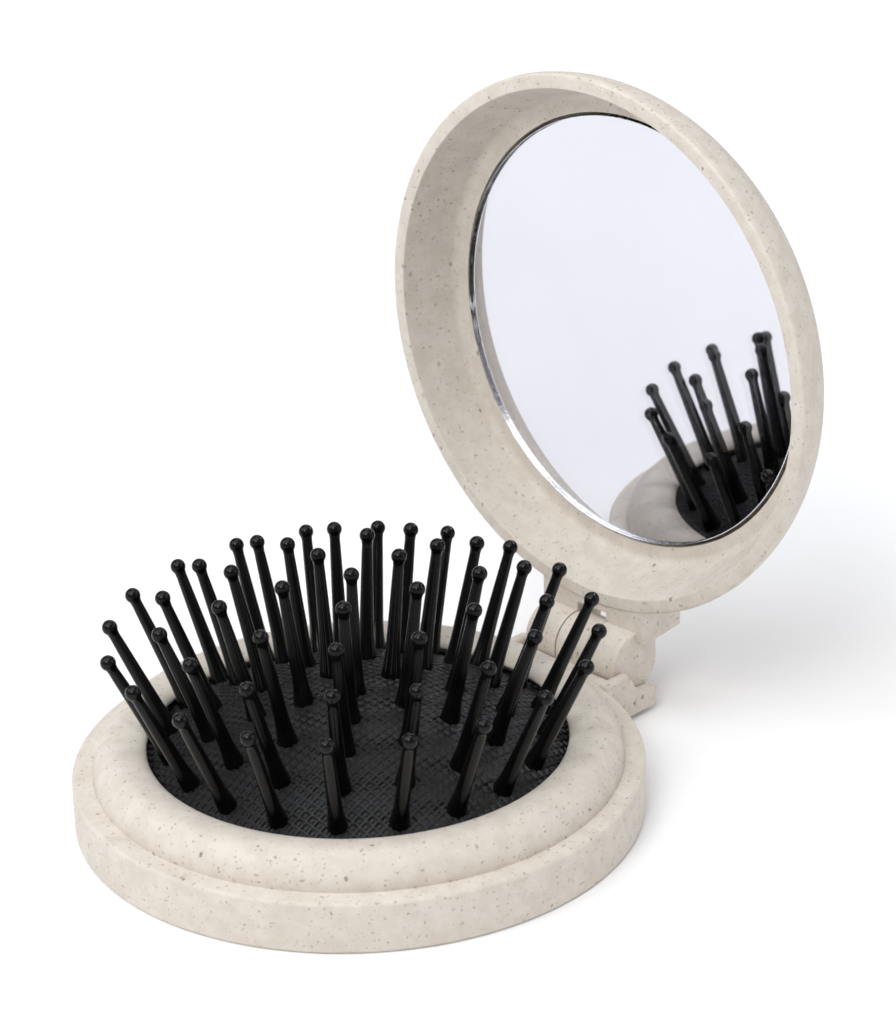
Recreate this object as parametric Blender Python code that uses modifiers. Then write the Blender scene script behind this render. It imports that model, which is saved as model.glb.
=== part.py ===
"""Folding pocket hairbrush with a mirror in its lid.

The frame is metres, +Z up. The brush is modelled with the middle of its round
base at the origin and its hinge on the +Y side, standing on the plane Z = 0. It
is then moved along Y, so that the origin is under the middle of the open brush.
The lid is modelled closed, about the hinge axis, and then swung up to where it
stands open.

Every bristle has an empty on the axis about which it folds inwards, when the
domed pad is pushed through and the lid comes down.
"""
import math

import bmesh
import bpy
from mathutils import Vector

MM = 0.001
GAP = 0.3 * MM                  # room between neighbouring pieces
MERGE = 0.00001                 # merge distance of the turned shapes
TURN_STEPS = 48                 # facets round a turned shape

# base
BASE_RADIUS = 34.0 * MM
BASE_INNER_RADIUS = 32.2 * MM
BASE_EDGE = 0.5 * MM            # chamfer round the foot and the band's top
LEDGE_HEIGHT = 6.4 * MM         # the lid's rim closes on this ledge
LEDGE_UNDERSIDE = 4.7 * MM
RING_FOOT_RADIUS = 31.5 * MM    # where the raised ring leaves the ledge
RING_CREST_RADIUS = 28.2 * MM
RING_CREST_HEIGHT = 10.3 * MM
RING_INNER_RADIUS = 29.9 * MM
LIP_RADIUS = 25.0 * MM          # opening for the pad
LIP_TOP = 9.2 * MM
LIP_UNDERSIDE = 8.5 * MM

# bottom cover, which clamps the pad from below
COVER_RADIUS = BASE_INNER_RADIUS - GAP
COVER_OPENING = 21.5 * MM
COVER_BOTTOM = 0.4 * MM
COVER_TOP = 1.6 * MM
CLAMP_OUTER_RADIUS = 29.0 * MM
CLAMP_INNER_RADIUS = 27.0 * MM

# rubber pad: a dome with a flat flange
PAD_RADIUS = 25.2 * MM
PAD_EDGE_HEIGHT = 8.0 * MM
PAD_RISE = 7.2 * MM
PAD_THICKNESS = 1.0 * MM
FLANGE_RADIUS = 29.4 * MM
DOME_RADIUS = (PAD_RADIUS ** 2 + PAD_RISE ** 2) / (2.0 * PAD_RISE)
DOME_CENTRE = PAD_EDGE_HEIGHT + PAD_RISE - DOME_RADIUS

# bristles: one in the middle, then rings of 5, 10, 15 and 20
RING_RADII = (0.0, 6.3 * MM, 12.0 * MM, 17.6 * MM, 22.4 * MM)
PINS_PER_RING_STEP = 5
RING_START = math.radians(95.0)
PIN_LENGTH = 14.8 * MM          # from the pad to the middle of the ball
PIN_SPLAY = math.radians(1.13) / MM     # outward lean for each metre of radius
BALL_RADIUS = 0.93 * MM
COLLAR_RADIUS = 1.15 * MM
COLLAR_HEIGHT = 2.2 * MM
SHAFT_ROOT_RADIUS = 0.88 * MM
SHAFT_TOP_RADIUS = 0.63 * MM
PIN_FACETS = 6

# how the bristles fold when the pad is pushed through
MIDDLE_DROP = 17.65 * MM
FOLDED_TIP_RADII = (0.0, 2.25 * MM, 4.3 * MM, 6.2 * MM, 8.45 * MM)

# lid, measured from its rim plane when it is closed
RIM_HEIGHT = LEDGE_HEIGHT + GAP
LID_DEPTH = 10.4 * MM
LID_CORNER = 10.4 * MM          # radius of the rounded back edge
LID_RIM_INNER_RADIUS = 32.2 * MM
LID_FLOOR_RADIUS = 29.8 * MM
LID_FLOOR_DEPTH = 7.1 * MM
GLASS_RECESS_RADIUS = 27.6 * MM
GLASS_RECESS_DEPTH = 9.1 * MM
GLASS_RADIUS = 27.3 * MM
GLASS_FRONT = 7.2 * MM
GLASS_THICKNESS = 1.0 * MM
GLASS_BEVEL = 0.35 * MM
TAPE_RADIUS = 25.0 * MM
TAPE_FRONT = 8.45 * MM
TAPE_THICKNESS = 0.4 * MM

# hinge
HINGE_Y = 40.0 * MM
HINGE_Z = 6.6 * MM
OPEN_ANGLE = math.radians(90.0)
KNUCKLE_RADIUS = 3.8 * MM
SADDLE_RADIUS = KNUCKLE_RADIUS + 0.4 * MM
EAR_INNER_X = 2.6 * MM
EAR_OUTER_X = 7.6 * MM
KNUCKLE_HALF_WIDTH = EAR_INNER_X - GAP
BRACKET_HALF_WIDTH = 9.3 * MM
BRACKET_FRONT_Y = 32.45 * MM
BRACKET_BACK_Y = 42.3 * MM
BRACKET_BOTTOM = 0.6 * MM
BRACKET_TOP = 5.6 * MM
NECK_FRONT_Y = 35.0 * MM
NECK_BACK_Y = 42.0 * MM
NECK_BOTTOM = 1.1 * MM
LID_BLOCK_HALF_WIDTH = 8.5 * MM
LID_BLOCK_BACK_Y = 37.0 * MM
LID_BLOCK_TOP = 14.0 * MM
LID_BLOCK_FRONT_Y = 28.0 * MM
NECK_GAP = 0.2 * MM             # the ears' necks stay this far above the rim plane
HINGE_PIN_RADIUS = 0.8 * MM
HINGE_BORE_RADIUS = 1.1 * MM
HINGE_PIN_LEFT = -7.4 * MM
HINGE_PIN_RIGHT = 6.6 * MM

# the open brush reaches from the front of its base to the back of its lid
FRONT_Y = -BASE_RADIUS
REAR_Y = HINGE_Y + RIM_HEIGHT - HINGE_Z + LID_DEPTH
MIDDLE_Y = (FRONT_Y + REAR_Y) / 2.0


def clear_scene():
    for obj in list(bpy.data.objects):
        bpy.data.objects.remove(obj, do_unlink=True)


def make_collection(name):
    collection = bpy.data.collections.new(name)
    bpy.context.scene.collection.children.link(collection)
    return collection


def make_material(name, colour, roughness, metallic=0.0):
    material = bpy.data.materials.new(name)
    material.use_nodes = True
    shader = material.node_tree.nodes["Principled BSDF"]
    shader.inputs["Base Color"].default_value = (*colour, 1.0)
    shader.inputs["Roughness"].default_value = roughness
    shader.inputs["Metallic"].default_value = metallic
    material.diffuse_color = (*colour, 1.0)
    return material


def link_mesh(name, mesh, collection, material=None):
    obj = bpy.data.objects.new(name, mesh)
    collection.objects.link(obj)
    if material is not None and not mesh.materials:
        mesh.materials.append(material)
    return obj


def make_empty(name, location, collection):
    empty = bpy.data.objects.new(name, None)
    empty.location = location
    empty.empty_display_size = 2.0 * MM
    collection.objects.link(empty)
    return empty


def mark_helper(obj):
    obj.hide_render = True
    obj.display_type = "WIRE"
    return obj


def profile_mesh(name, points, closed):
    """An outline in the XZ plane, ready to be turned about Z."""
    mesh = bpy.data.meshes.new(name)
    shape = bmesh.new()
    verts = [shape.verts.new((radius, 0.0, height)) for radius, height in points]
    for first, second in zip(verts, verts[1:]):
        shape.edges.new((first, second))
    if closed:
        shape.edges.new((verts[-1], verts[0]))
    shape.to_mesh(mesh)
    shape.free()
    return mesh


def add_turning(obj, steps):
    screw = obj.modifiers.new("turn", "SCREW")
    screw.axis = "Z"
    screw.steps = steps
    screw.render_steps = steps
    screw.use_merge_vertices = True
    screw.merge_threshold = MERGE
    screw.use_smooth_shade = True


def turned(name, points, collection, material=None, closed=False, steps=TURN_STEPS):
    """A turned piece. The outline runs down its outer side."""
    obj = link_mesh(name, profile_mesh(name, points, closed), collection, material)
    add_turning(obj, steps)
    return obj


def arc(centre, radius_r, radius_z, start, end, count):
    """Points of an elliptical arc in the outline's plane, angles in degrees."""
    points = []
    for step in range(count + 1):
        angle = math.radians(start + (end - start) * step / count)
        points.append((centre[0] + radius_r * math.cos(angle),
                       centre[1] + radius_z * math.sin(angle)))
    return points


def box_helper(name, low, high, collection):
    mesh = bpy.data.meshes.new(name)
    shape = bmesh.new()
    bmesh.ops.create_cube(shape, size=1.0)
    size = Vector(high) - Vector(low)
    bmesh.ops.scale(shape, vec=size, verts=shape.verts)
    shape.to_mesh(mesh)
    shape.free()
    obj = link_mesh(name, mesh, collection)
    obj.location = (Vector(low) + Vector(high)) / 2.0
    return mark_helper(obj)


def rod_mesh(name, radius, length, segments):
    mesh = bpy.data.meshes.new(name)
    shape = bmesh.new()
    bmesh.ops.create_cone(shape, cap_ends=True, segments=segments,
                          radius1=radius, radius2=radius, depth=length)
    shape.to_mesh(mesh)
    shape.free()
    return mesh


def place_along_x(obj, start_x, end_x, y, z):
    obj.location = ((start_x + end_x) / 2.0, y, z)
    obj.rotation_euler = (0.0, math.radians(90.0), 0.0)
    return obj


def rod_helper(name, radius, start_x, end_x, y, z, collection, segments=32):
    mesh = rod_mesh(name, radius, end_x - start_x, segments)
    obj = link_mesh(name, mesh, collection)
    return mark_helper(place_along_x(obj, start_x, end_x, y, z))


def combine(obj, helper, operation):
    step = obj.modifiers.new(helper.name, "BOOLEAN")
    step.operation = operation
    step.object = helper


def dome_height(radius, offset=0.0):
    """Height of the pad's dome, or of a surface inside it, at a radius."""
    return DOME_CENTRE + math.sqrt((DOME_RADIUS - offset) ** 2 - radius ** 2)


def ring_crest_outline():
    """The raised ring, from the lip round the opening out to the ledge."""
    inner = arc((RING_CREST_RADIUS, LIP_TOP), RING_CREST_RADIUS - LIP_RADIUS,
                RING_CREST_HEIGHT - LIP_TOP, 180.0, 90.0, 4)
    outer = arc((RING_CREST_RADIUS, LEDGE_HEIGHT), RING_FOOT_RADIUS - RING_CREST_RADIUS,
                RING_CREST_HEIGHT - LEDGE_HEIGHT, 90.0, 0.0, 5)
    return inner + outer[1:]


def base_outline():
    """The base's cross-section, hollow from below and open in the middle."""
    return ring_crest_outline() + [
        (BASE_RADIUS - BASE_EDGE, LEDGE_HEIGHT),
        (BASE_RADIUS, LEDGE_HEIGHT - BASE_EDGE),
        (BASE_RADIUS, BASE_EDGE),
        (BASE_RADIUS - BASE_EDGE, 0.0),
        (BASE_INNER_RADIUS, 0.0),
        (BASE_INNER_RADIUS, LEDGE_UNDERSIDE),
        (RING_INNER_RADIUS, LEDGE_UNDERSIDE),
        (RING_INNER_RADIUS, LIP_UNDERSIDE),
        (LIP_RADIUS, LIP_UNDERSIDE)]


def build_base_shell(parts, cutters, plastic):
    base = turned("base_shell", base_outline(), parts, plastic, closed=True)

    bracket = box_helper("base_bracket",
                         (-BRACKET_HALF_WIDTH, BRACKET_FRONT_Y, BRACKET_BOTTOM),
                         (BRACKET_HALF_WIDTH, BRACKET_BACK_Y, BRACKET_TOP), cutters)
    saddle = rod_helper("saddle_cut", SADDLE_RADIUS, -20.0 * MM, 20.0 * MM,
                        HINGE_Y, HINGE_Z, cutters)
    neck = box_helper("knuckle_neck",
                      (-KNUCKLE_HALF_WIDTH, NECK_FRONT_Y, NECK_BOTTOM),
                      (KNUCKLE_HALF_WIDTH, NECK_BACK_Y, HINGE_Z - 1.0 * MM), cutters)
    knuckle = rod_helper("knuckle", KNUCKLE_RADIUS, -KNUCKLE_HALF_WIDTH, KNUCKLE_HALF_WIDTH,
                         HINGE_Y, HINGE_Z, cutters)
    bore = rod_helper("base_bore", HINGE_BORE_RADIUS, -20.0 * MM, 20.0 * MM,
                      HINGE_Y, HINGE_Z, cutters, segments=16)
    combine(bracket, saddle, "DIFFERENCE")
    combine(bracket, neck, "UNION")
    combine(bracket, knuckle, "UNION")
    combine(base, bracket, "UNION")
    combine(base, bore, "DIFFERENCE")
    return base


def build_bottom_cover(parts, plastic):
    clamp_top = PAD_EDGE_HEIGHT - PAD_THICKNESS - GAP
    outline = [
        (COVER_RADIUS, COVER_TOP), (COVER_RADIUS, COVER_BOTTOM),
        (COVER_OPENING, COVER_BOTTOM), (COVER_OPENING, COVER_TOP),
        (CLAMP_INNER_RADIUS, COVER_TOP), (CLAMP_INNER_RADIUS, clamp_top),
        (CLAMP_OUTER_RADIUS, clamp_top), (CLAMP_OUTER_RADIUS, COVER_TOP)]
    return turned("bottom_cover", outline, parts, plastic, closed=True)


def build_pad(parts, rubber):
    rings = 7
    top = []
    underside = []
    for step in range(rings + 1):
        radius = PAD_RADIUS * step / rings
        top.append((radius, dome_height(radius)))
    under_edge = PAD_RADIUS - PAD_THICKNESS
    for step in range(rings, -1, -1):
        radius = under_edge * step / rings
        underside.append((radius, dome_height(radius, PAD_THICKNESS)))
    flange_bottom = PAD_EDGE_HEIGHT - PAD_THICKNESS
    flange = [(FLANGE_RADIUS, PAD_EDGE_HEIGHT), (FLANGE_RADIUS, flange_bottom),
              (PAD_RADIUS, flange_bottom)]
    return turned("bristle_pad", top + flange + underside, parts, rubber, steps=36)


def pin_outline():
    """Half of a bristle, from the top of its ball down to its foot."""
    neck = math.degrees(math.acos(SHAFT_TOP_RADIUS / BALL_RADIUS))
    ball = arc((0.0, PIN_LENGTH), BALL_RADIUS, BALL_RADIUS, 90.0, -neck, 3)
    ball[0] = (0.0, PIN_LENGTH + BALL_RADIUS)
    return ball + [(SHAFT_ROOT_RADIUS, COLLAR_HEIGHT), (COLLAR_RADIUS, 0.0), (0.0, 0.0)]


def smoothstep(value):
    value = min(max(value, 0.0), 1.0)
    return value * value * (3.0 - 2.0 * value)


def fold_of(radius, tip_radius):
    """How a bristle at this radius folds: its foot's drop and its turn.

    The foot goes down with the pad, most in the middle, and the bristle leans
    in until its ball is at tip_radius.
    """
    rise = (dome_height(radius) - PAD_EDGE_HEIGHT) / PAD_RISE
    drop = MIDDLE_DROP * smoothstep(rise)
    lean = math.asin((radius - tip_radius) / PIN_LENGTH)
    return drop, lean + PIN_SPLAY * radius


def fold_axis(radius, tip_radius):
    """Radius and height of the axis that carries a bristle from up to folded."""
    drop, turn = fold_of(radius, tip_radius)
    foot = dome_height(radius) + GAP
    return radius + drop / 2.0 / math.tan(turn / 2.0), foot - drop / 2.0


def build_pins(parts, plastic):
    outline = profile_mesh("pin", pin_outline(), False)
    outline.materials.append(plastic)
    for ring, (radius, tip_radius) in enumerate(zip(RING_RADII, FOLDED_TIP_RADII)):
        count = max(1, PINS_PER_RING_STEP * ring)
        foot = dome_height(radius) + GAP
        axis_radius, axis_height = radius, foot
        if ring > 0:
            axis_radius, axis_height = fold_axis(radius, tip_radius)
        for number in range(count):
            name = f"pin_{ring}_{number + 1:02d}"
            angle = RING_START + 2.0 * math.pi * number / count
            place = (axis_radius * math.cos(angle), axis_radius * math.sin(angle), axis_height)
            axis = make_empty(name + "_axis", place, parts)
            axis.rotation_euler = (0.0, 0.0, angle)
            pin = link_mesh(name, outline, parts)
            pin.parent = axis
            pin.location = (radius - axis_radius, 0.0, foot - axis_height)
            pin.rotation_euler = (0.0, PIN_SPLAY * radius, 0.0)
            add_turning(pin, PIN_FACETS)


def build_lid_shell(parts, cutters, plastic, axis):
    """The lid, modelled closed with the hinge axis as its origin."""
    lift = RIM_HEIGHT - HINGE_Z
    back = arc((BASE_RADIUS - LID_CORNER, lift), LID_CORNER, LID_CORNER, 90.0, 4.0, 9)
    body_outline = ([(0.0, lift + LID_DEPTH)] + back
                    + [(BASE_RADIUS, lift + BASE_EDGE), (BASE_RADIUS - BASE_EDGE, lift),
                       (0.0, lift)])
    lid = turned("lid_shell", body_outline, parts, plastic)

    block = box_helper("lid_block",
                       (-LID_BLOCK_HALF_WIDTH, LID_BLOCK_FRONT_Y - HINGE_Y, lift + NECK_GAP),
                       (LID_BLOCK_HALF_WIDTH, LID_BLOCK_BACK_Y - HINGE_Y,
                        LID_BLOCK_TOP - HINGE_Z), cutters)
    neck = box_helper("ear_neck",
                      (-EAR_OUTER_X, LID_BLOCK_FRONT_Y - HINGE_Y, lift + NECK_GAP),
                      (EAR_OUTER_X, 0.0, KNUCKLE_RADIUS), cutters)
    ears = rod_helper("ears", KNUCKLE_RADIUS, -EAR_OUTER_X, EAR_OUTER_X, 0.0, 0.0, cutters)
    slot = rod_helper("knuckle_slot", SADDLE_RADIUS, -EAR_INNER_X, EAR_INNER_X,
                      0.0, 0.0, cutters)
    bore = rod_helper("ear_bore", HINGE_BORE_RADIUS, -20.0 * MM, HINGE_PIN_RIGHT + GAP,
                      0.0, 0.0, cutters, segments=16)
    hollow_outline = [
        (0.0, lift + GLASS_RECESS_DEPTH), (GLASS_RECESS_RADIUS, lift + GLASS_RECESS_DEPTH),
        (GLASS_RECESS_RADIUS, lift + LID_FLOOR_DEPTH),
        (LID_FLOOR_RADIUS - BASE_EDGE, lift + LID_FLOOR_DEPTH),
        (LID_FLOOR_RADIUS, lift + LID_FLOOR_DEPTH - BASE_EDGE),
        (LID_RIM_INNER_RADIUS, lift), (LID_RIM_INNER_RADIUS, lift - 5.0 * MM),
        (0.0, lift - 5.0 * MM)]
    hollow = mark_helper(turned("lid_hollow", hollow_outline, cutters))
    hollow.location = (0.0, -HINGE_Y, 0.0)
    lid.location = (0.0, -HINGE_Y, 0.0)

    for piece in (lid, block, neck, ears, slot, bore, hollow):
        piece.parent = axis
    combine(block, neck, "UNION")
    combine(block, ears, "UNION")
    combine(block, slot, "DIFFERENCE")
    combine(lid, block, "UNION")
    combine(lid, hollow, "DIFFERENCE")
    combine(lid, bore, "DIFFERENCE")
    return lid


def build_mirror(parts, glass, foam, axis):
    lift = RIM_HEIGHT - HINGE_Z
    back = lift + GLASS_FRONT + GLASS_THICKNESS
    front = lift + GLASS_FRONT
    glass_outline = [(0.0, back), (GLASS_RADIUS, back), (GLASS_RADIUS, front + GLASS_BEVEL),
                     (GLASS_RADIUS - 2.0 * GLASS_BEVEL, front), (0.0, front)]
    mirror = turned("mirror_glass", glass_outline, parts, glass)
    tape_front = lift + TAPE_FRONT
    tape_back = tape_front + TAPE_THICKNESS
    tape_outline = [(0.0, tape_back), (TAPE_RADIUS, tape_back), (TAPE_RADIUS, tape_front),
                    (0.0, tape_front)]
    tape = turned("mirror_tape", tape_outline, parts, foam)
    for piece in (mirror, tape):
        piece.location = (0.0, -HINGE_Y, 0.0)
        piece.parent = axis


def build_hinge_pin(parts, steel):
    mesh = rod_mesh("hinge_pin", HINGE_PIN_RADIUS, HINGE_PIN_RIGHT - HINGE_PIN_LEFT, 12)
    pin = link_mesh("hinge_pin", mesh, parts, steel)
    place_along_x(pin, HINGE_PIN_LEFT, HINGE_PIN_RIGHT, HINGE_Y, HINGE_Z)


def centre_on_origin(collection):
    """Moves the whole brush, so that the origin is under its middle."""
    loose = [obj for obj in bpy.data.objects if obj.parent is None]
    whole = make_empty("whole_brush", (0.0, -MIDDLE_Y, 0.0), collection)
    for obj in loose:
        obj.parent = whole


def build():
    clear_scene()
    parts = make_collection("folding_pocket_brush")
    cutters = make_collection("cutters")
    plastic = make_material("speckled_plastic", (0.76, 0.70, 0.62), 0.55)
    rubber = make_material("black_rubber", (0.02, 0.02, 0.021), 0.6)
    nylon = make_material("black_nylon", (0.012, 0.012, 0.013), 0.3)
    glass = make_material("mirror", (0.92, 0.93, 0.95), 0.02, 1.0)
    foam = make_material("foam_tape", (0.85, 0.85, 0.83), 0.9)
    steel = make_material("steel", (0.6, 0.6, 0.6), 0.3, 1.0)

    build_base_shell(parts, cutters, plastic)
    build_bottom_cover(parts, plastic)
    build_pad(parts, rubber)
    build_pins(parts, nylon)
    build_hinge_pin(parts, steel)
    lid_axis = make_empty("lid_axis", (0.0, HINGE_Y, HINGE_Z), parts)
    build_lid_shell(parts, cutters, plastic, lid_axis)
    build_mirror(parts, glass, foam, lid_axis)
    lid_axis.rotation_euler = (-OPEN_ANGLE, 0.0, 0.0)
    centre_on_origin(parts)


build()
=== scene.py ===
"""Looks of a folding pocket hairbrush with a mirror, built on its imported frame.

Lengths are metres. The base is round about the Z axis through BASE. The lid stands
open behind it, round about the Y axis through MIRROR, and turns about HINGE.
"""
import math
import random

import bmesh
import bpy
import numpy as np
from mathutils import Matrix, Vector


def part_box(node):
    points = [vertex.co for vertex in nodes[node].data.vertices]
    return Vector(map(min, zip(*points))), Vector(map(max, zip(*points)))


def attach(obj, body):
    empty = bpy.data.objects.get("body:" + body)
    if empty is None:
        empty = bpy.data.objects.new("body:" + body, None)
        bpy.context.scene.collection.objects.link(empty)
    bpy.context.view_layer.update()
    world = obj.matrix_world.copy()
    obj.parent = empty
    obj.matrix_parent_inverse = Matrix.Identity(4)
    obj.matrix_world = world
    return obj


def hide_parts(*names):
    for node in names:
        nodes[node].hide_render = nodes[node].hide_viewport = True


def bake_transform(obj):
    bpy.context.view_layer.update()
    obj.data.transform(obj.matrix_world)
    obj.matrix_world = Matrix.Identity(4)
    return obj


MM = 0.001
FINE = 192                      # facets round the large turned pieces
SHARP = math.radians(32.0)      # edges sharper than this are shaded as edges

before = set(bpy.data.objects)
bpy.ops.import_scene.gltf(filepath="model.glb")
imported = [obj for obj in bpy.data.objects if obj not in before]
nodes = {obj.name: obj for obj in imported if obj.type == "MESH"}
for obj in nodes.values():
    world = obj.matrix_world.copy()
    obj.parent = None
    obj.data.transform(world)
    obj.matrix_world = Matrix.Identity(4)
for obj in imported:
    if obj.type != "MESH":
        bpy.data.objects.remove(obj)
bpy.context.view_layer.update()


def middle(node):
    low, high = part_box(node)
    return (low + high) / 2.0


BASE = Vector((middle("bottom_cover").x, middle("bottom_cover").y, 0.0))
MIRROR = middle("mirror_glass")
BASE_RADIUS = (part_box("base_shell")[1].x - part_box("base_shell")[0].x) / 2.0
HINGE = middle("hinge_pin")
HINGE.x = 0.0
HINGE_BORE = 1.1 * MM
KNUCKLE = 2.35 * MM             # half the width of the base's knuckle
EAR_RADIUS = 4.0 * MM           # of the knuckle and of both ears
EAR_OUTER = 7.6 * MM            # from the middle to the ears' outer faces
PAST_HINGE = 12.0 * MM          # half the width of tools that cut right through


# ---------------------------------------------------------------- mesh helpers

def new_object(name, mesh, material=None):
    obj = bpy.data.objects.new(name, mesh)
    bpy.context.scene.collection.objects.link(obj)
    if material is not None:
        mesh.materials.append(material)
    return obj


def rounded(corners, segments=6):
    """A closed outline from corners (radius, height, fillet), with each corner rounded."""
    points = []
    count = len(corners)
    for i, (r, z, fillet) in enumerate(corners):
        here = Vector((r, z))
        if fillet <= 0.0:
            points.append(here)
            continue
        before = Vector(corners[i - 1][:2])
        after = Vector(corners[(i + 1) % count][:2])
        to_before = (before - here).normalized()
        to_after = (after - here).normalized()
        half = to_before.angle(to_after) / 2.0
        reach = fillet / math.tan(half)
        centre = here + (to_before + to_after).normalized() * (fillet / math.sin(half))
        start = here + to_before * reach - centre
        end = here + to_after * reach - centre
        sweep = start.angle_signed(end)
        for step in range(segments + 1):
            turn = -sweep * step / segments
            c, s = math.cos(turn), math.sin(turn)
            points.append(centre + Vector((start.x * c - start.y * s,
                                           start.x * s + start.y * c)))
    return [(p.x, p.y) for p in points]


def lathe(name, outline, material=None, closed=True, steps=FINE):
    """Turns an outline of (radius, height) about Z."""
    count = len(outline)
    angles = np.linspace(0.0, 2.0 * math.pi, steps, endpoint=False)
    verts = []
    index = []
    for radius, height in outline:
        if radius < 1e-7:
            index.append([len(verts)] * steps)
            verts.append((0.0, 0.0, height))
            continue
        index.append(list(range(len(verts), len(verts) + steps)))
        verts.extend((radius * math.cos(a), radius * math.sin(a), height) for a in angles)
    faces = []
    for i in range(count if closed else count - 1):
        first, second = index[i], index[(i + 1) % count]
        for j in range(steps):
            k = (j + 1) % steps
            ring = (first[j], first[k], second[k], second[j])
            face = tuple(dict.fromkeys(ring))
            if len(face) > 2:
                faces.append(face)
    mesh = bpy.data.meshes.new(name)
    mesh.from_pydata(verts, [], faces)
    tidy_normals(mesh)
    return new_object(name, mesh, material)


def tidy_normals(mesh):
    shape = bmesh.new()
    shape.from_mesh(mesh)
    bmesh.ops.recalc_face_normals(shape, faces=shape.faces)
    shape.to_mesh(mesh)
    shape.free()
    smooth_by_angle(mesh)


def smooth_by_angle(mesh):
    mesh.shade_smooth()
    mesh.set_sharp_from_angle(angle=SHARP)


def round_edges(shape, bevel):
    if bevel > 0.0:
        bmesh.ops.bevel(shape, geom=shape.edges[:] + shape.verts[:], offset=bevel,
                        segments=3, profile=0.5, affect="EDGES")


def block(name, low, high, bevel=0.0):
    mesh = bpy.data.meshes.new(name)
    shape = bmesh.new()
    bmesh.ops.create_cube(shape, size=1.0)
    size = Vector(high) - Vector(low)
    bmesh.ops.scale(shape, vec=size, verts=shape.verts)
    bmesh.ops.translate(shape, vec=(Vector(low) + Vector(high)) / 2.0, verts=shape.verts)
    round_edges(shape, bevel)
    shape.to_mesh(mesh)
    shape.free()
    return new_object(name, mesh)


def barrel(name, radius, start_x, end_x, bevel=0.0):
    """A cylinder round the hinge's axis, with rounded rims."""
    length = end_x - start_x
    half = length / 2.0
    outline = rounded([(0.0, half, 0.0), (radius, half, bevel), (radius, -half, bevel),
                       (0.0, -half, 0.0)], 4)
    obj = lathe(name, outline, closed=False, steps=64)
    obj.data.transform(Matrix.Rotation(math.radians(90.0), 4, "Y"))
    obj.data.transform(Matrix.Translation(((start_x + end_x) / 2.0, HINGE.y, HINGE.z)))
    return obj


def prism(name, profile, start_x, end_x, bevel=0.0):
    """A profile of (y, z) in millimetres from the hinge, drawn out along X."""
    count = len(profile)
    verts = [(x, HINGE.y + y * MM, HINGE.z + z * MM) for x in (start_x, end_x)
             for y, z in profile]
    faces = [tuple(range(count)), tuple(range(2 * count - 1, count - 1, -1))]
    faces += [(i, count + i, count + (i + 1) % count, (i + 1) % count) for i in range(count)]
    mesh = bpy.data.meshes.new(name)
    mesh.from_pydata(verts, [], faces)
    shape = bmesh.new()
    shape.from_mesh(mesh)
    bmesh.ops.recalc_face_normals(shape, faces=shape.faces)
    round_edges(shape, bevel)
    shape.to_mesh(mesh)
    shape.free()
    return new_object(name, mesh)


def apply_modifiers(obj):
    graph = bpy.context.evaluated_depsgraph_get()
    mesh = bpy.data.meshes.new_from_object(obj.evaluated_get(graph))
    old = obj.data
    obj.modifiers.clear()
    obj.data = mesh
    mesh.name = obj.name
    bpy.data.meshes.remove(old)
    smooth_by_angle(mesh)


def combine(obj, *steps):
    """Runs (operation, tool) pairs on obj and removes the tools."""
    for operation, tool in steps:
        boolean = obj.modifiers.new(tool.name, "BOOLEAN")
        boolean.operation = operation
        boolean.object = tool
    bpy.context.view_layer.update()
    apply_modifiers(obj)
    for _, tool in steps:
        mesh = tool.data
        bpy.data.objects.remove(tool, do_unlink=True)
        bpy.data.meshes.remove(mesh)
    return obj


# ------------------------------------------------------------------- materials

class Graph:
    """A small helper for building a material's nodes."""

    def __init__(self, name):
        self.material = bpy.data.materials.new(name)
        self.material.use_nodes = True
        self.tree = self.material.node_tree
        self.shader = self.tree.nodes["Principled BSDF"]

    def add(self, kind):
        return self.tree.nodes.new(kind)

    def link(self, output, target):
        self.tree.links.new(output, target)

    def math(self, operation, *values):
        node = self.add("ShaderNodeMath")
        node.operation = operation
        for socket, value in zip(node.inputs, values):
            if isinstance(value, (int, float)):
                socket.default_value = value
            else:
                self.link(value, socket)
        return node.outputs[0]

    def ramp(self, value, low, high, to_low=0.0, to_high=1.0):
        node = self.add("ShaderNodeMapRange")
        node.interpolation_type = "SMOOTHSTEP"
        self.link(value, node.inputs["Value"])
        node.inputs["From Min"].default_value = low
        node.inputs["From Max"].default_value = high
        node.inputs["To Min"].default_value = to_low
        node.inputs["To Max"].default_value = to_high
        return node.outputs["Result"]

    def mix(self, factor, first, second):
        node = self.add("ShaderNodeMix")
        node.data_type = "RGBA"
        sockets = [s for s in node.inputs if s.type == "RGBA"]
        for socket, value in zip(sockets, (first, second)):
            if isinstance(value, tuple):
                socket.default_value = (*value, 1.0)
            else:
                self.link(value, socket)
        self.link(factor, node.inputs["Factor"])
        return [s for s in node.outputs if s.type == "RGBA"][0]

    def coordinates(self, scale=(1.0, 1.0, 1.0), turn=(0.0, 0.0, 0.0)):
        place = self.add("ShaderNodeTexCoord")
        mapping = self.add("ShaderNodeMapping")
        mapping.inputs["Scale"].default_value = scale
        mapping.inputs["Rotation"].default_value = turn
        self.link(place.outputs["Object"], mapping.inputs["Vector"])
        return mapping.outputs["Vector"]

    def noise(self, vector, scale, detail=2.0, roughness=0.5):
        node = self.add("ShaderNodeTexNoise")
        node.inputs["Scale"].default_value = scale
        node.inputs["Detail"].default_value = detail
        node.inputs["Roughness"].default_value = roughness
        self.link(vector, node.inputs["Vector"])
        return node.outputs["Fac"]

    def bump(self, height, strength, distance):
        node = self.add("ShaderNodeBump")
        node.inputs["Strength"].default_value = strength
        node.inputs["Distance"].default_value = distance
        self.link(height, node.inputs["Height"])
        self.link(node.outputs["Normal"], self.shader.inputs["Normal"])


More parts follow.
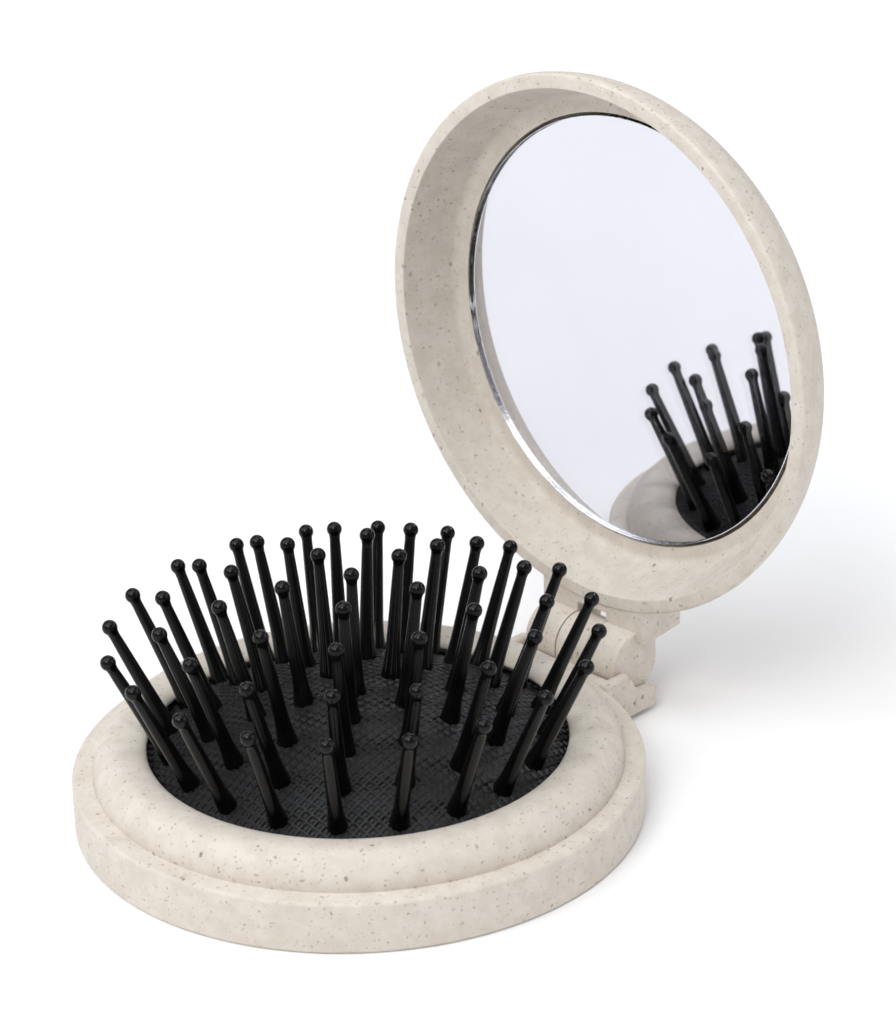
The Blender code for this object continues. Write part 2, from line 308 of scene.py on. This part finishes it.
def fleck_layer(graph, cells, stretch, turn, share, radius):
    """Scattered flecks: how much of a fleck each point is in, 0 to 1.

    cells is how many cells a metre holds, share the part of them that have a
    fleck, and radius the size of the largest fleck.
    """
    size = radius * cells
    vector = graph.coordinates(stretch, turn)
    scatter = graph.add("ShaderNodeTexVoronoi")
    scatter.inputs["Scale"].default_value = cells
    graph.link(vector, scatter.inputs["Vector"])
    wobble = graph.noise(vector, cells * 2.6, 2.0)
    chance = graph.add("ShaderNodeSeparateColor")
    graph.link(scatter.outputs["Color"], chance.inputs["Color"])
    chosen = graph.math("LESS_THAN", chance.outputs[0], share)
    reach = graph.math("MULTIPLY_ADD", chance.outputs[1], size * 0.6, size * 0.4)
    ragged = graph.math("MULTIPLY_ADD", wobble, size * 1.5, size * -0.75)
    distance = graph.math("ADD", scatter.outputs["Distance"], ragged)
    soft = graph.ramp(graph.math("SUBTRACT", reach, distance), 0.0, size * 0.4)
    strength = graph.ramp(chance.outputs[2], 0.0, 1.0, 0.3, 1.0)
    return graph.math("MULTIPLY", graph.math("MULTIPLY", soft, chosen), strength)


FLECKS = (
    # cells per metre, stretch, turn, share, largest radius, tint
    (1650.0, (1.0, 1.0, 1.0), (0.0, 0.0, 0.0), 0.36, 0.21 * MM, (0.39, 0.345, 0.30)),
    (2400.0, (1.0, 0.6, 1.0), (0.3, 0.2, 0.1), 0.40, 0.15 * MM, (0.45, 0.405, 0.36)),
    (1500.0, (1.0, 0.35, 1.0), (0.5, 0.3, 0.9), 0.30, 0.18 * MM, (0.41, 0.355, 0.31)),
    (1350.0, (0.4, 1.0, 1.0), (0.2, 1.1, 0.4), 0.30, 0.19 * MM, (0.39, 0.35, 0.315)),
    (850.0, (1.0, 1.0, 0.7), (0.7, 0.4, 0.2), 0.30, 0.29 * MM, (0.29, 0.245, 0.21)),
)


def speckled_plastic():
    """Cream plastic filled with ground straw."""
    graph = Graph("speckled_plastic")
    plain = graph.coordinates()
    cloud = graph.noise(plain, 420.0, 4.0, 0.65)
    colour = graph.mix(graph.ramp(cloud, 0.3, 0.7), (0.618, 0.558, 0.484), (0.688, 0.636, 0.566))
    flecks = None
    for cells, stretch, turn, share, radius, tint in FLECKS:
        layer = fleck_layer(graph, cells, stretch, turn, share, radius)
        colour = graph.mix(layer, colour, tint)
        flecks = layer if flecks is None else graph.math("MAXIMUM", flecks, layer)
    graph.link(colour, graph.shader.inputs["Base Color"])
    rough = graph.ramp(graph.noise(plain, 700.0, 2.0), 0.3, 0.7, 0.50, 0.62)
    graph.link(rough, graph.shader.inputs["Roughness"])
    graph.shader.inputs["Specular IOR Level"].default_value = 0.30
    graph.shader.inputs["Subsurface Weight"].default_value = 0.08
    graph.shader.inputs["Subsurface Scale"].default_value = 0.001
    graph.shader.inputs["Subsurface Radius"].default_value = (1.0, 0.8, 0.6)
    height = graph.math("MULTIPLY_ADD", flecks, -0.5, graph.noise(plain, 1900.0, 3.0))
    graph.bump(height, 0.20, 0.00005)
    return graph.material


def black_rubber():
    graph = Graph("black_rubber")
    plain = graph.coordinates()
    tone = graph.ramp(graph.noise(plain, 500.0, 3.0), 0.3, 0.7)
    colour = graph.mix(tone, (0.0045, 0.0045, 0.005), (0.0075, 0.0075, 0.008))
    graph.link(colour, graph.shader.inputs["Base Color"])
    rough = graph.ramp(graph.noise(plain, 1600.0, 2.0), 0.3, 0.7, 0.36, 0.46)
    graph.link(rough, graph.shader.inputs["Roughness"])
    graph.shader.inputs["Specular IOR Level"].default_value = 0.36
    graph.bump(graph.noise(plain, 4200.0, 3.0), 0.15, 0.00002)
    return graph.material


def black_nylon():
    graph = Graph("black_nylon")
    plain = graph.coordinates()
    tone = graph.ramp(graph.noise(plain, 300.0, 2.0), 0.3, 0.7)
    colour = graph.mix(tone, (0.0022, 0.0022, 0.0025), (0.0038, 0.0038, 0.0042))
    graph.link(colour, graph.shader.inputs["Base Color"])
    rough = graph.ramp(graph.noise(plain, 500.0, 2.0), 0.3, 0.7, 0.13, 0.18)
    graph.link(rough, graph.shader.inputs["Roughness"])
    graph.shader.inputs["Specular IOR Level"].default_value = 0.22
    graph.bump(graph.noise(graph.coordinates((1.0, 1.0, 0.2)), 1400.0, 2.0), 0.04, 0.00002)
    return graph.material


def clear_glass():
    graph = Graph("clear_glass")
    tone = graph.ramp(graph.noise(graph.coordinates(), 60.0, 2.0), 0.3, 0.7)
    colour = graph.mix(tone, (0.985, 0.992, 0.990), (0.992, 0.996, 0.994))
    graph.link(colour, graph.shader.inputs["Base Color"])
    graph.shader.inputs["Transmission Weight"].default_value = 1.0
    graph.shader.inputs["Roughness"].default_value = 0.0
    graph.shader.inputs["IOR"].default_value = 1.5
    return graph.material


def silvering():
    """The silver on the back of the glass."""
    graph = Graph("silvering")
    tone = graph.ramp(graph.noise(graph.coordinates(), 60.0, 2.0), 0.3, 0.7)
    colour = graph.mix(tone, (0.728, 0.721, 0.770), (0.738, 0.731, 0.780))
    graph.link(colour, graph.shader.inputs["Base Color"])
    graph.shader.inputs["Metallic"].default_value = 1.0
    graph.shader.inputs["Roughness"].default_value = 0.0
    return graph.material


def cut_glass_edge():
    """The broken edge of the glass, with bright chips among dark ones, and a painted reflection
    that makes the lower part bright and the upper part dark.
    """
    graph = Graph("cut_glass_edge")
    plain = graph.coordinates()
    chips = graph.noise(graph.coordinates((1.0, 1.0, 0.45)), 900.0, 5.0, 0.7)
    place = graph.add("ShaderNodeSeparateXYZ")
    graph.link(plain, place.inputs["Vector"])
    # painted reflection: by height, the lower part of the edge is painted bright silver and the
    # upper part dark
    height = graph.math("MULTIPLY_ADD", chips, 16.0 * MM, place.outputs["Z"])
    painted_reflection_low = graph.ramp(height, MIRROR.z - 3.0 * MM, MIRROR.z + 4.0 * MM, 1.0, 0.0)
    chipped = graph.ramp(chips, 0.54, 0.60)
    # the bright mask is the chips together with the painted reflection low down
    silver = graph.math("MAXIMUM", chipped, painted_reflection_low)
    colour = graph.mix(silver, (0.010, 0.0095, 0.009), (0.93, 0.94, 0.97))
    graph.link(colour, graph.shader.inputs["Base Color"])
    graph.shader.inputs["Metallic"].default_value = 1.0
    graph.link(graph.ramp(chips, 0.3, 0.7, 0.12, 0.35), graph.shader.inputs["Roughness"])
    graph.bump(chips, 0.5, 0.00010)
    return graph.material


def foam_tape():
    graph = Graph("foam_tape")
    plain = graph.coordinates()
    cells = graph.add("ShaderNodeTexVoronoi")
    cells.inputs["Scale"].default_value = 2200.0
    graph.link(plain, cells.inputs["Vector"])
    colour = graph.mix(graph.ramp(cells.outputs["Distance"], 0.0, 0.6),
                       (0.62, 0.61, 0.58), (0.80, 0.79, 0.76))
    graph.link(colour, graph.shader.inputs["Base Color"])
    graph.shader.inputs["Roughness"].default_value = 0.9
    graph.bump(cells.outputs["Distance"], 0.5, 0.0001)
    return graph.material


def drawn_steel():
    graph = Graph("drawn_steel")
    lines = graph.noise(graph.coordinates((0.08, 1.0, 1.0)), 5000.0, 3.0)
    colour = graph.mix(graph.ramp(lines, 0.3, 0.7), (0.52, 0.52, 0.53), (0.66, 0.66, 0.67))
    graph.link(colour, graph.shader.inputs["Base Color"])
    graph.shader.inputs["Metallic"].default_value = 1.0
    graph.link(graph.ramp(lines, 0.3, 0.7, 0.22, 0.38), graph.shader.inputs["Roughness"])
    graph.bump(lines, 0.2, 0.00003)
    return graph.material


def floor_paper():
    graph = Graph("floor_paper")
    plain = graph.coordinates()
    colour = graph.mix(graph.ramp(graph.noise(plain, 25.0, 4.0), 0.3, 0.7),
                       (0.93, 0.93, 0.935), (0.945, 0.945, 0.95))
    graph.link(colour, graph.shader.inputs["Base Color"])
    graph.shader.inputs["Roughness"].default_value = 0.9
    graph.shader.inputs["Specular IOR Level"].default_value = 0.1
    return graph.material


# ------------------------------------------------------------------------ base

CREST_RADIUS = 28.2 * MM
CREST_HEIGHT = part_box("base_shell")[1].z
LEDGE_HEIGHT = 6.4 * MM         # the lid's rim closes on this ledge
LEDGE_UNDER = 4.7 * MM
LIP_RADIUS = 25.0 * MM
LIP_TOP = 9.2 * MM
LIP_UNDER = 8.5 * MM
RING_FOOT = 31.5 * MM
RING_BORE = 29.9 * MM
WALL_BORE = 32.2 * MM
COVER_RADIUS = 31.9 * MM
COVER_HOLE = 21.5 * MM
COVER_FOOT = 0.4 * MM
COVER_TOP = 1.6 * MM
CLAMP_OUTER = 29.0 * MM         # the raised ring that holds the pad's flange
CLAMP_INNER = 27.0 * MM
CLAMP_TOP = 6.7 * MM


def oval_arc(centre, radius_r, radius_z, start, end, count):
    points = []
    for step in range(count + 1):
        angle = math.radians(start + (end - start) * step / count)
        points.append((centre[0] + radius_r * math.cos(angle),
                       centre[1] + radius_z * math.sin(angle)))
    return points


def base_outline():
    crown = oval_arc((CREST_RADIUS, LIP_TOP), CREST_RADIUS - LIP_RADIUS,
                     CREST_HEIGHT - LIP_TOP, 180.0, 90.0, 12)
    crown += oval_arc((CREST_RADIUS, LEDGE_HEIGHT), RING_FOOT - CREST_RADIUS,
                      CREST_HEIGHT - LEDGE_HEIGHT, 90.0, 3.0, 20)[1:]
    rest = rounded([
        (RING_FOOT, LEDGE_HEIGHT, 0.0),
        (BASE_RADIUS, LEDGE_HEIGHT, 0.5 * MM),
        (BASE_RADIUS, 0.0, 0.5 * MM),
        (WALL_BORE, 0.0, 0.15 * MM),
        (WALL_BORE, LEDGE_UNDER, 0.3 * MM),
        (RING_BORE, LEDGE_UNDER, 0.2 * MM),
        (RING_BORE, LIP_UNDER, 0.3 * MM),
        (LIP_RADIUS, LIP_UNDER, 0.15 * MM)], 5)
    return crown + rest


SADDLE_RADIUS = 4.4 * MM
SADDLE_HALF = 7.8 * MM
BRACKET_HALF = 9.3 * MM
BRACKET_REACH = 2.3 * MM        # how far the bracket reaches behind the hinge
BRACKET_FOOT = 0.6 * MM
BRACKET_TOP = 5.6 * MM
CHEEK_MIDDLE = 8.55 * MM
CHEEK_HALF = 0.75 * MM
CHEEK_TOP = 6.55 * MM
NECK_FOOT = 1.1 * MM
# outline of what the bracket leaves free, as (y, z) in millimetres from the hinge
NOTCH = ((-2.6, 1.4), (-2.6, -0.6), (-1.7, -2.2), (-0.2, -3.2), (3.0, -3.5), (3.0, 1.4))


def build_base(plastic):
    base = lathe("base_body", base_outline(), plastic)
    base.data.transform(Matrix.Translation(BASE))
    wall = BASE.y + BASE_RADIUS
    back = HINGE.y + BRACKET_REACH
    bracket = block("bracket", (-BRACKET_HALF, wall - 1.5 * MM, BRACKET_FOOT),
                    (BRACKET_HALF, back, BRACKET_TOP), 0.35 * MM)
    cheeks = [block("cheek", (side * CHEEK_MIDDLE - CHEEK_HALF, wall - 1.0 * MM, 2.0 * MM),
                    (side * CHEEK_MIDDLE + CHEEK_HALF, HINGE.y - 2.6 * MM, CHEEK_TOP), 0.5 * MM)
              for side in (-1.0, 1.0)]
    notch = prism("notch", NOTCH, -PAST_HINGE, PAST_HINGE)
    saddle = barrel("saddle", SADDLE_RADIUS, -SADDLE_HALF, SADDLE_HALF)
    neck = block("neck", (-KNUCKLE, wall + 1.0 * MM, NECK_FOOT),
                 (KNUCKLE, back - 0.3 * MM, HINGE.z - 1.0 * MM), 0.2 * MM)
    knuckle = barrel("knuckle", EAR_RADIUS, -KNUCKLE, KNUCKLE, 0.25 * MM)
    bore = barrel("bore", HINGE_BORE, -PAST_HINGE, PAST_HINGE)
    combine(bracket, ("UNION", cheeks[0]), ("UNION", cheeks[1]), ("DIFFERENCE", notch),
            ("DIFFERENCE", saddle), ("UNION", neck), ("UNION", knuckle))
    combine(base, ("UNION", bracket), ("DIFFERENCE", bore))
    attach(base, "base")
    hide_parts("base_shell")


def build_cover(plastic):
    outline = rounded([
        (COVER_RADIUS, COVER_TOP, 0.15 * MM), (COVER_RADIUS, COVER_FOOT, 0.25 * MM),
        (COVER_HOLE, COVER_FOOT, 0.4 * MM), (COVER_HOLE, COVER_TOP, 0.4 * MM),
        (CLAMP_INNER, COVER_TOP, 0.2 * MM), (CLAMP_INNER, CLAMP_TOP, 0.2 * MM),
        (CLAMP_OUTER, CLAMP_TOP, 0.2 * MM), (CLAMP_OUTER, COVER_TOP, 0.2 * MM)], 4)
    cover = lathe("cover_ring", outline, plastic)
    cover.data.transform(Matrix.Translation(BASE))
    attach(cover, "base")
    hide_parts("bottom_cover")


# ------------------------------------------------------------------------- pad

PAD_EDGE = 8.0 * MM
PAD_THICKNESS = 1.0 * MM
BODY_DROP = 0.25 * MM           # from the dome down to the body, under the skin
HOLLOW_RADIUS = 24.2 * MM
FLANGE_RADIUS = 29.4 * MM
FLANGE_ROOT = 25.0 * MM
FLANGE_TOP = PAD_EDGE - 0.1 * MM
FLANGE_UNDER = PAD_EDGE - PAD_THICKNESS
SKIN_RADIUS = 26.0 * MM         # the ribbed skin runs out under the lip
SKIN_RISE = 0.06 * MM           # of the ribs' tops over the dome
PAD_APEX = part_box("bristle_pad")[1].z
PAD_RADIUS = 25.2 * MM
DOME = (PAD_RADIUS ** 2 + (PAD_APEX - PAD_EDGE) ** 2) / (2.0 * (PAD_APEX - PAD_EDGE))
CELL = 1.06 * MM                # from one rib to the next
RIB = 0.15 * MM
PIT_DEPTH = 0.22 * MM
STUD_LEVEL = -0.45              # tops of the studs, in pit depths
# the lines across one cell: each one's place, in cells from its middle, and what it is on
CELL_LINES = ((-0.5, "rib"), (-0.5 + RIB / CELL, "rib"), (-0.5 + 2.1 * RIB / CELL, "pit"),
              (-0.26, "pit"), (-0.15, "stud"), (0.15, "stud"), (0.26, "pit"),
              (0.5 - 1.1 * RIB / CELL, "pit"))
PATTERN_TURN = math.radians(4.0)


def dome_height(radius):
    return PAD_APEX - DOME + np.sqrt(DOME ** 2 - np.minimum(radius, PAD_RADIUS) ** 2)


def skin_level(kinds):
    """How high the skin is where its lines cross, in pit depths: 0 on a rib, -1 in a pit."""
    rib = np.array(kinds) == "rib"
    stud = np.array(kinds) == "stud"
    on_rib = rib[:, None] | rib[None, :]
    on_stud = stud[:, None] & stud[None, :]
    return np.where(on_rib, 0.0, np.where(on_stud, STUD_LEVEL, -1.0))


def pad_skin(rubber):
    """Crossed ribs with a small stud in every pit."""
    reach = int(SKIN_RADIUS / CELL) + 1
    lines = []
    kinds = []
    for cell in range(-reach, reach):
        for place, kind in CELL_LINES:
            lines.append((cell + place) * CELL)
            kinds.append(kind)
    lines = np.array(lines)
    x, y = np.meshgrid(lines, lines, indexing="ij")
    radius = np.hypot(x, y)
    z = dome_height(radius) + skin_level(kinds) * PIT_DEPTH + SKIN_RISE
    keep = radius < SKIN_RADIUS
    index = -np.ones(keep.shape, int)
    index[keep] = np.arange(keep.sum())
    cosine, sine = math.cos(PATTERN_TURN), math.sin(PATTERN_TURN)
    skin_x = (x * cosine - y * sine)[keep] + BASE.x
    skin_y = (x * sine + y * cosine)[keep] + BASE.y
    verts = np.c_[skin_x, skin_y, z[keep]]
    faces = np.stack([index[:-1, :-1], index[1:, :-1], index[1:, 1:], index[:-1, 1:]], axis=-1)
    faces = faces[(faces >= 0).all(axis=-1)]
    mesh = bpy.data.meshes.new("pad_skin")
    mesh.from_pydata(verts.tolist(), [], faces.tolist())
    mesh.update()
    return new_object("pad_skin", mesh, rubber)


def pad_body(rubber):
    """The plain domed rubber under the skin, with its flange."""
    top = [(PAD_RADIUS * i / 40, dome_height(PAD_RADIUS * i / 40) - BODY_DROP) for i in range(40)]
    top.append((PAD_RADIUS, FLANGE_TOP))
    rim = [(FLANGE_RADIUS, FLANGE_TOP), (FLANGE_RADIUS, FLANGE_UNDER),
           (FLANGE_ROOT, FLANGE_UNDER)]
    inward = [HOLLOW_RADIUS * i / 40 for i in range(40, -1, -1)]
    under = [(radius, dome_height(radius) - PAD_THICKNESS) for radius in inward]
    body = lathe("pad_body", top + rim + under, rubber, closed=False)
    body.data.transform(Matrix.Translation(BASE))
    return body


def build_pad(rubber):
    for piece in (pad_skin(rubber), pad_body(rubber)):
        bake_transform(piece)
        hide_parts("bristle_pad")


# ------------------------------------------------------------------------ pins

PIN_LENGTH = 14.8 * MM
BALL = 0.93 * MM
NECK = 0.63 * MM
# the shaft from under the ball to the foot, as (radius, height) in millimetres
SHAFT = ((0.64, 13.6), (0.665, 12.8), (0.72, 10.5), (0.775, 8.0), (0.83, 5.5), (0.88, 3.4),
         (0.93, 2.4), (1.02, 1.4), (1.12, 0.6), (1.20, -0.1), (1.22, -0.45), (0.0, -0.6))
LEAN = 0.010                    # typical random lean of a bristle, as a slope


def pin_mesh(nylon):
    neck = math.degrees(math.acos(NECK / BALL))
    ball = oval_arc((0.0, PIN_LENGTH), BALL, BALL, 90.0, -neck + 6.0, 12)
    shaft = [(radius * MM, height * MM) for radius, height in SHAFT]
    outline = ball + shaft
    obj = lathe("pin_pattern", outline, nylon, closed=False, steps=28)
    mesh = obj.data
    bpy.data.objects.remove(obj, do_unlink=True)
    return mesh


def pin_axis(node):
    """The upward axis of a CAD bristle and the top of its ball."""
    verts = np.array([v.co for v in node.data.vertices], float)
    middle_point = verts.mean(axis=0)
    axis = np.linalg.svd(verts - middle_point)[2][0]
    axis = axis * np.sign(axis[2])
    top = verts[np.argmax((verts - middle_point) @ axis)]
    return Vector(axis), Vector(top)


def build_pins(nylon):
    """One visual bristle on each CAD bristle, turned and leaned a very little."""
    chance = random.Random(7)
    mesh = pin_mesh(nylon)
    for name in sorted(n for n in nodes if n.startswith("pin_")):
        direction, tip = pin_axis(nodes[name])
        foot = tip - direction * (PIN_LENGTH + BALL)
        lean = Vector((chance.gauss(0, 1), chance.gauss(0, 1), 0.0)) * LEAN
        direction = (direction + lean).normalized()
        pin = bpy.data.objects.new("bristle" + name[3:], mesh)
        bpy.context.scene.collection.objects.link(pin)
        turn = direction.to_track_quat("Z", "Y").to_matrix().to_4x4()
        spin = Matrix.Rotation(chance.uniform(0.0, math.pi), 4, "Z")
        pin.matrix_world = Matrix.Translation(foot) @ turn @ spin
        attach(pin, name)
        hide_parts(name)


# ------------------------------------------------------------------------- lid

LID_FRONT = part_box("mirror_glass")[0].y - 7.2 * MM     # the rim's plane
LID_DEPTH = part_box("lid_shell")[1].y - LID_FRONT
LID_RADIUS = BASE_RADIUS
LID_CORNER = 10.4 * MM          # how far in from the side the rounded back reaches
RIM_INNER = 32.2 * MM
LID_FLOOR = 7.1 * MM            # depths are taken from the rim's plane
RECESS_RADIUS = 27.65 * MM
RECESS_DEPTH = 9.1 * MM


def stand_up(obj):
    """Moves a piece turned about Z, with the lid's rim plane at zero, to the open lid."""
    turn = Matrix(((1.0, 0.0, 0.0), (0.0, 0.0, 1.0), (0.0, -1.0, 0.0))).to_4x4()
    obj.data.transform(turn)
    obj.data.transform(Matrix.Translation((0.0, LID_FRONT, MIRROR.z)))
    return obj


def lid_outline():
    """The lid's section from its back round the rim to the mirror's recess."""
    back = oval_arc((LID_RADIUS - LID_CORNER, 0.0), LID_CORNER, LID_DEPTH, 90.0, 8.0, 30)
    rim = rounded([
        (0.0, RECESS_DEPTH, 0.0),
        (LID_RADIUS, 1.2 * MM, 0.0),
        (LID_RADIUS, 0.0, 0.35 * MM),
        (RIM_INNER, 0.0, 0.2 * MM),
        (29.8 * MM, LID_FLOOR, 1.2 * MM),
        (RECESS_RADIUS, LID_FLOOR, 0.12 * MM),
        (RECESS_RADIUS, RECESS_DEPTH, 0.0)], 6)
    return back + rim[1:] + rim[:1]


def wall_plug():
    """Everything in front of the middle of the lid's wall: it keeps the block out of the lid."""
    outline = [(0.0, 7.5 * MM), (31.0 * MM, 7.5 * MM), (31.0 * MM, 7.0 * MM),
               (33.0 * MM, 0.5 * MM), (33.0 * MM, -6.0 * MM), (0.0, -6.0 * MM)]
    return stand_up(lathe("wall_plug", outline, closed=False, steps=96))


BLOCK_HALF = 8.5 * MM
WEB_HALF = 5.5 * MM
BORE_END = 6.9 * MM             # the bore stops inside the right ear
# outlines at the open lid, as (y, z) in millimetres from the hinge
BLOCK = ((0.3, 2.6), (3.0, 2.5), (7.6, 3.0), (7.6, 12.0), (0.3, 12.0))
EAR_NECK = ((0.3, -0.3), (3.9, -0.3), (3.9, 11.5), (0.3, 11.5))
EAR_WEB = ((0.3, 0.5), (4.6, 1.6), (4.6, 5.5), (0.3, 5.5))
SLOT = ((-5.0, -5.0), (9.0, -5.0), (9.0, 5.2), (-5.0, 5.2))


def hinge_block():
    """The block on the lid's rim with its two ears, at the open lid."""
    blockwork = prism("hinge_block", BLOCK, -BLOCK_HALF, BLOCK_HALF, 0.3 * MM)
    neck = prism("ear_neck", EAR_NECK, -EAR_OUTER, EAR_OUTER, 0.15 * MM)
    ears = barrel("ears", EAR_RADIUS, -EAR_OUTER, EAR_OUTER, 0.25 * MM)
    web = prism("ear_web", EAR_WEB, -WEB_HALF, WEB_HALF, 0.15 * MM)
    slot_half = KNUCKLE + 0.12 * MM
    slot = prism("slot", SLOT, -slot_half, slot_half)
    return combine(blockwork, ("UNION", neck), ("UNION", web), ("UNION", ears),
                   ("DIFFERENCE", slot), ("DIFFERENCE", wall_plug()))


def build_lid(plastic):
    outline = [(0.0, LID_DEPTH)] + lid_outline()
    lid = lathe("lid_body", outline, plastic, closed=False)
    stand_up(lid)
    bore = barrel("bore", HINGE_BORE, -PAST_HINGE, BORE_END)
    combine(lid, ("UNION", hinge_block()), ("DIFFERENCE", bore))
    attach(lid, "lid")
    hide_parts("lid_shell")


GLASS_RADIUS = 27.2 * MM
GLASS_THICKNESS = 1.0 * MM
GLASS_LIFT = 0.25 * MM          # how far the plate stands proud of the CAD's
MIRROR_YAW = math.radians(0.5)
MIRROR_PITCH = math.radians(-0.7)


def build_mirror(glass, edge, silver):
    """One plate: clear glass in front, a broken edge round it and silver behind."""
    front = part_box("mirror_glass")[0].y - LID_FRONT - GLASS_LIFT
    back = front + GLASS_THICKNESS
    outline = [(0.0, front), (GLASS_RADIUS - 0.08 * MM, front),
               (GLASS_RADIUS, front + 0.06 * MM), (GLASS_RADIUS, back - 0.05 * MM),
               (GLASS_RADIUS - 0.05 * MM, back), (0.0, back)]
    plate = lathe("mirror_plate", outline, glass, closed=False, steps=256)
    stand_up(plate)
    centre = Matrix.Translation(MIRROR)
    tilt = Matrix.Rotation(MIRROR_YAW, 4, "Z") @ Matrix.Rotation(MIRROR_PITCH, 4, "X")
    plate.data.transform(centre @ tilt @ centre.inverted())
    plate.data.materials.append(edge)
    plate.data.materials.append(silver)
    for face in plate.data.polygons:
        if face.normal.y > 0.9:
            face.material_index = 2
        elif face.normal.y > -0.3:
            face.material_index = 1
        face.use_smooth = False
    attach(plate, "lid")
    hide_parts("mirror_glass")


# ----------------------------------------------------------------------- stage

def build_floor(paper):
    mesh = bpy.data.meshes.new("floor")
    size = 4.0
    height = -0.02 * MM
    mesh.from_pydata([(-size, -size, height), (size, -size, height),
                      (size, size, height), (-size, size, height)], [], [(0, 1, 2, 3)])
    floor = new_object("floor", mesh, paper)


def from_front(azimuth, elevation):
    """The direction at an azimuth, counted from the front towards +X, and an elevation."""
    return Vector((math.sin(azimuth) * math.cos(elevation),
                   -math.cos(azimuth) * math.cos(elevation), math.sin(elevation)))


def add_light(name, place, target, size, power, colour):
    light = bpy.data.lights.new(name, "AREA")
    light.size = size
    light.energy = power
    light.color = colour
    obj = bpy.data.objects.new(name, light)
    bpy.context.scene.collection.objects.link(obj)
    obj.location = place
    obj.rotation_euler = (target - place).to_track_quat("-Z", "Y").to_euler()


def build_world():
    world = bpy.data.worlds.new("studio")
    bpy.context.scene.world = world
    world.use_nodes = True
    background = world.node_tree.nodes["Background"]
    background.inputs["Color"].default_value = (0.98, 0.94, 1.0, 1.0)
    background.inputs["Strength"].default_value = 0.305


LIGHTS = (
    # name, azimuth, elevation, distance, size, power, colour
    ("key", 21.0, 43.0, 1.4, 0.60, 7.35, (1.0, 0.995, 0.955)),
    ("overhead", 20.0, 82.0, 2.0, 1.75, 21.5, (0.93, 0.98, 1.0)),
    ("left", -36.0, 40.0, 1.4, 0.90, 6.7, (0.91, 0.95, 1.0)),
    ("right", 130.0, 25.0, 1.4, 0.90, 3.65, (0.96, 0.98, 1.0)),
    ("behind", 215.0, 40.0, 2.0, 1.35, 4.6, (1.0, 0.97, 0.88)),
)


def build_lights():
    target = Vector((0.0, 0.0, 30.0 * MM))
    for name, azimuth, elevation, distance, size, power, colour in LIGHTS:
        away = from_front(math.radians(azimuth), math.radians(elevation))
        add_light(name, target + away * distance, target, size, power, colour)


VIEW_AZIMUTH = math.radians(46.16)
VIEW_ELEVATION = math.radians(24.17)
VIEW_ROLL = math.radians(-1.72)
VIEW_RIGHT = 10.39 * MM         # where the camera is from the base, along its own axes
VIEW_UP = 34.98 * MM
VIEW_BACK = 414.06 * MM


def build_camera():
    back = from_front(VIEW_AZIMUTH, VIEW_ELEVATION)
    right = Vector((math.cos(VIEW_AZIMUTH), math.sin(VIEW_AZIMUTH), 0.0))
    up = back.cross(right)
    rolled_right = right * math.cos(VIEW_ROLL) + up * math.sin(VIEW_ROLL)
    rolled_up = up * math.cos(VIEW_ROLL) - right * math.sin(VIEW_ROLL)
    place = BASE + rolled_right * VIEW_RIGHT + rolled_up * VIEW_UP + back * VIEW_BACK
    data = bpy.data.cameras.new("camera")
    data.sensor_width = 36.0
    data.lens = 121.9
    data.clip_start = 0.01
    data.clip_end = 20.0
    camera = bpy.data.objects.new("camera", data)
    bpy.context.scene.collection.objects.link(camera)
    rotation = Matrix((rolled_right, rolled_up, back)).transposed()
    camera.matrix_world = Matrix.Translation(place) @ rotation.to_4x4()
    bpy.context.scene.camera = camera
    focus = bpy.data.objects.new("focus", None)
    bpy.context.scene.collection.objects.link(focus)
    focus.location = (BASE.x, BASE.y + 8.0 * MM, 25.0 * MM)
    data.dof.use_dof = True
    data.dof.focus_object = focus
    data.dof.aperture_fstop = 64.0


def build():
    plastic = speckled_plastic()
    rubber = black_rubber()
    nylon = black_nylon()
    build_base(plastic)
    build_cover(plastic)
    build_pad(rubber)
    build_pins(nylon)
    build_lid(plastic)
    build_mirror(clear_glass(), cut_glass_edge(), silvering())
    nodes["mirror_tape"].data.materials.clear()
    nodes["mirror_tape"].data.materials.append(foam_tape())
    nodes["hinge_pin"].data.materials.clear()
    nodes["hinge_pin"].data.materials.append(drawn_steel())
    build_floor(floor_paper())
    build_world()
    build_lights()
    build_camera()
    bpy.context.scene.view_settings.view_transform = "Standard"


build()
